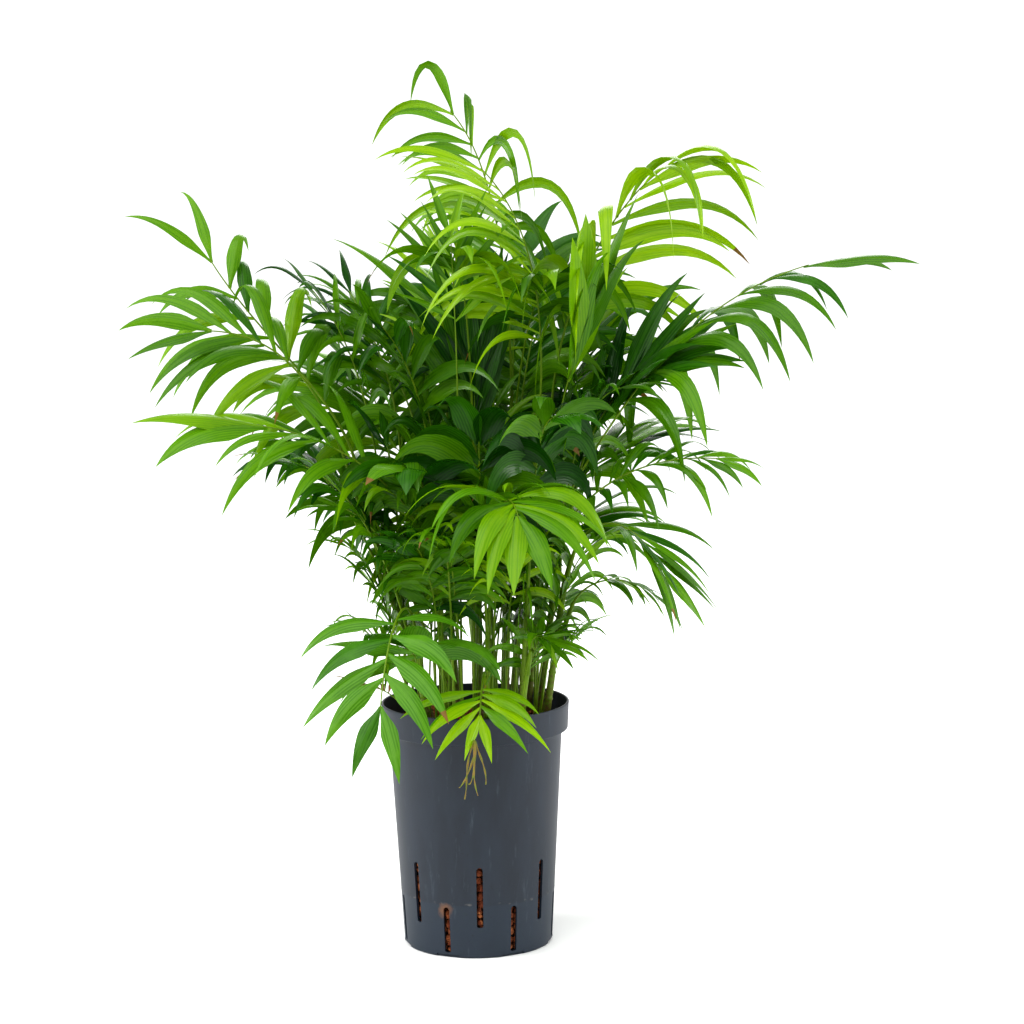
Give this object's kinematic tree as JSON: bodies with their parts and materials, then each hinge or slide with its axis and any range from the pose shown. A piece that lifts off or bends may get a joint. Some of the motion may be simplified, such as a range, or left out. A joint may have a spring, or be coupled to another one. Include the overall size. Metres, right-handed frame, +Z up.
{
  "type": "potted parlour palm",
  "caption": "Clump-forming indoor palm with thin canes and arching feathery fronds, standing in a slotted plastic pot of clay granules.",
  "frame": {"origin": "middle of the pot's flat underside", "axes": "+Z up, +X to the plant's right-hand side as seen from its front, -Y towards the front"},
  "size_m": [0.6174, 0.4118, 0.6839],
  "materials": {
    "pot": "matte",
    "clay": "matte",
    "cane": "satin",
    "frond_young": "satin",
    "frond_green": "satin",
    "frond_dark": "satin",
    "frond_cool": "satin"
  },
  "bodies": {
    "root": {"pot": "pot", "clay_granules": "clay", "cane_left": "cane", "cane_left_back": "cane", "cane_left_front": "cane", "cane_centre": "cane", "cane_front": "cane", "cane_centre_back": "cane", "cane_centre_right": "cane", "cane_right": "cane", "cane_right_front": "cane", "cane_far_left": "cane", "cane_back": "cane", "cane_right_back": "cane", "cane_front_left": "cane", "cane_front_right": "cane", "frond_upright_back": "frond_young", "frond_tallest": "frond_cool", "frond_top_arching": "frond_young", "frond_upper_left_fine": "frond_dark", "frond_upper_right": "frond_young", "frond_right_long": "frond_dark", "frond_left_high": "frond_green", "frond_left_middle": "frond_green", "frond_left_broad": "frond_green", "frond_left_fine": "frond_dark", "frond_left_small": "frond_green", "frond_front_left_hanging": "frond_green", "frond_front_low": "frond_young", "frond_front_fan": "frond_young", "frond_right_fine": "frond_green", "frond_right_hanging": "frond_green", "frond_right_small": "frond_green", "frond_front_right_small": "frond_green", "frond_middle_left": "frond_dark", "frond_middle": "frond_dark", "frond_middle_right": "frond_dark", "frond_inner_arching": "frond_young", "frond_inner_right": "frond_young", "frond_centre_spear": "frond_green", "frond_right_folded": "frond_dark", "frond_left_inner_fine": "frond_dark", "frond_left_inner": "frond_dark", "frond_left_under": "frond_dark", "frond_right_back_fine": "frond_dark", "frond_right_inner_fine": "frond_dark", "frond_back_high": "frond_green", "frond_back_right": "frond_green", "frond_right_back_high": "frond_green", "frond_right_back_low": "frond_dark", "frond_left_back": "frond_green", "frond_left_back_low": "frond_dark", "frond_back_low": "frond_green", "frond_back_inner": "frond_dark", "frond_back_right_low": "frond_green", "frond_back_right_high": "frond_green", "frond_left_back_high": "frond_green", "frond_back_middle": "frond_green"}
  },
  "joints": []
}
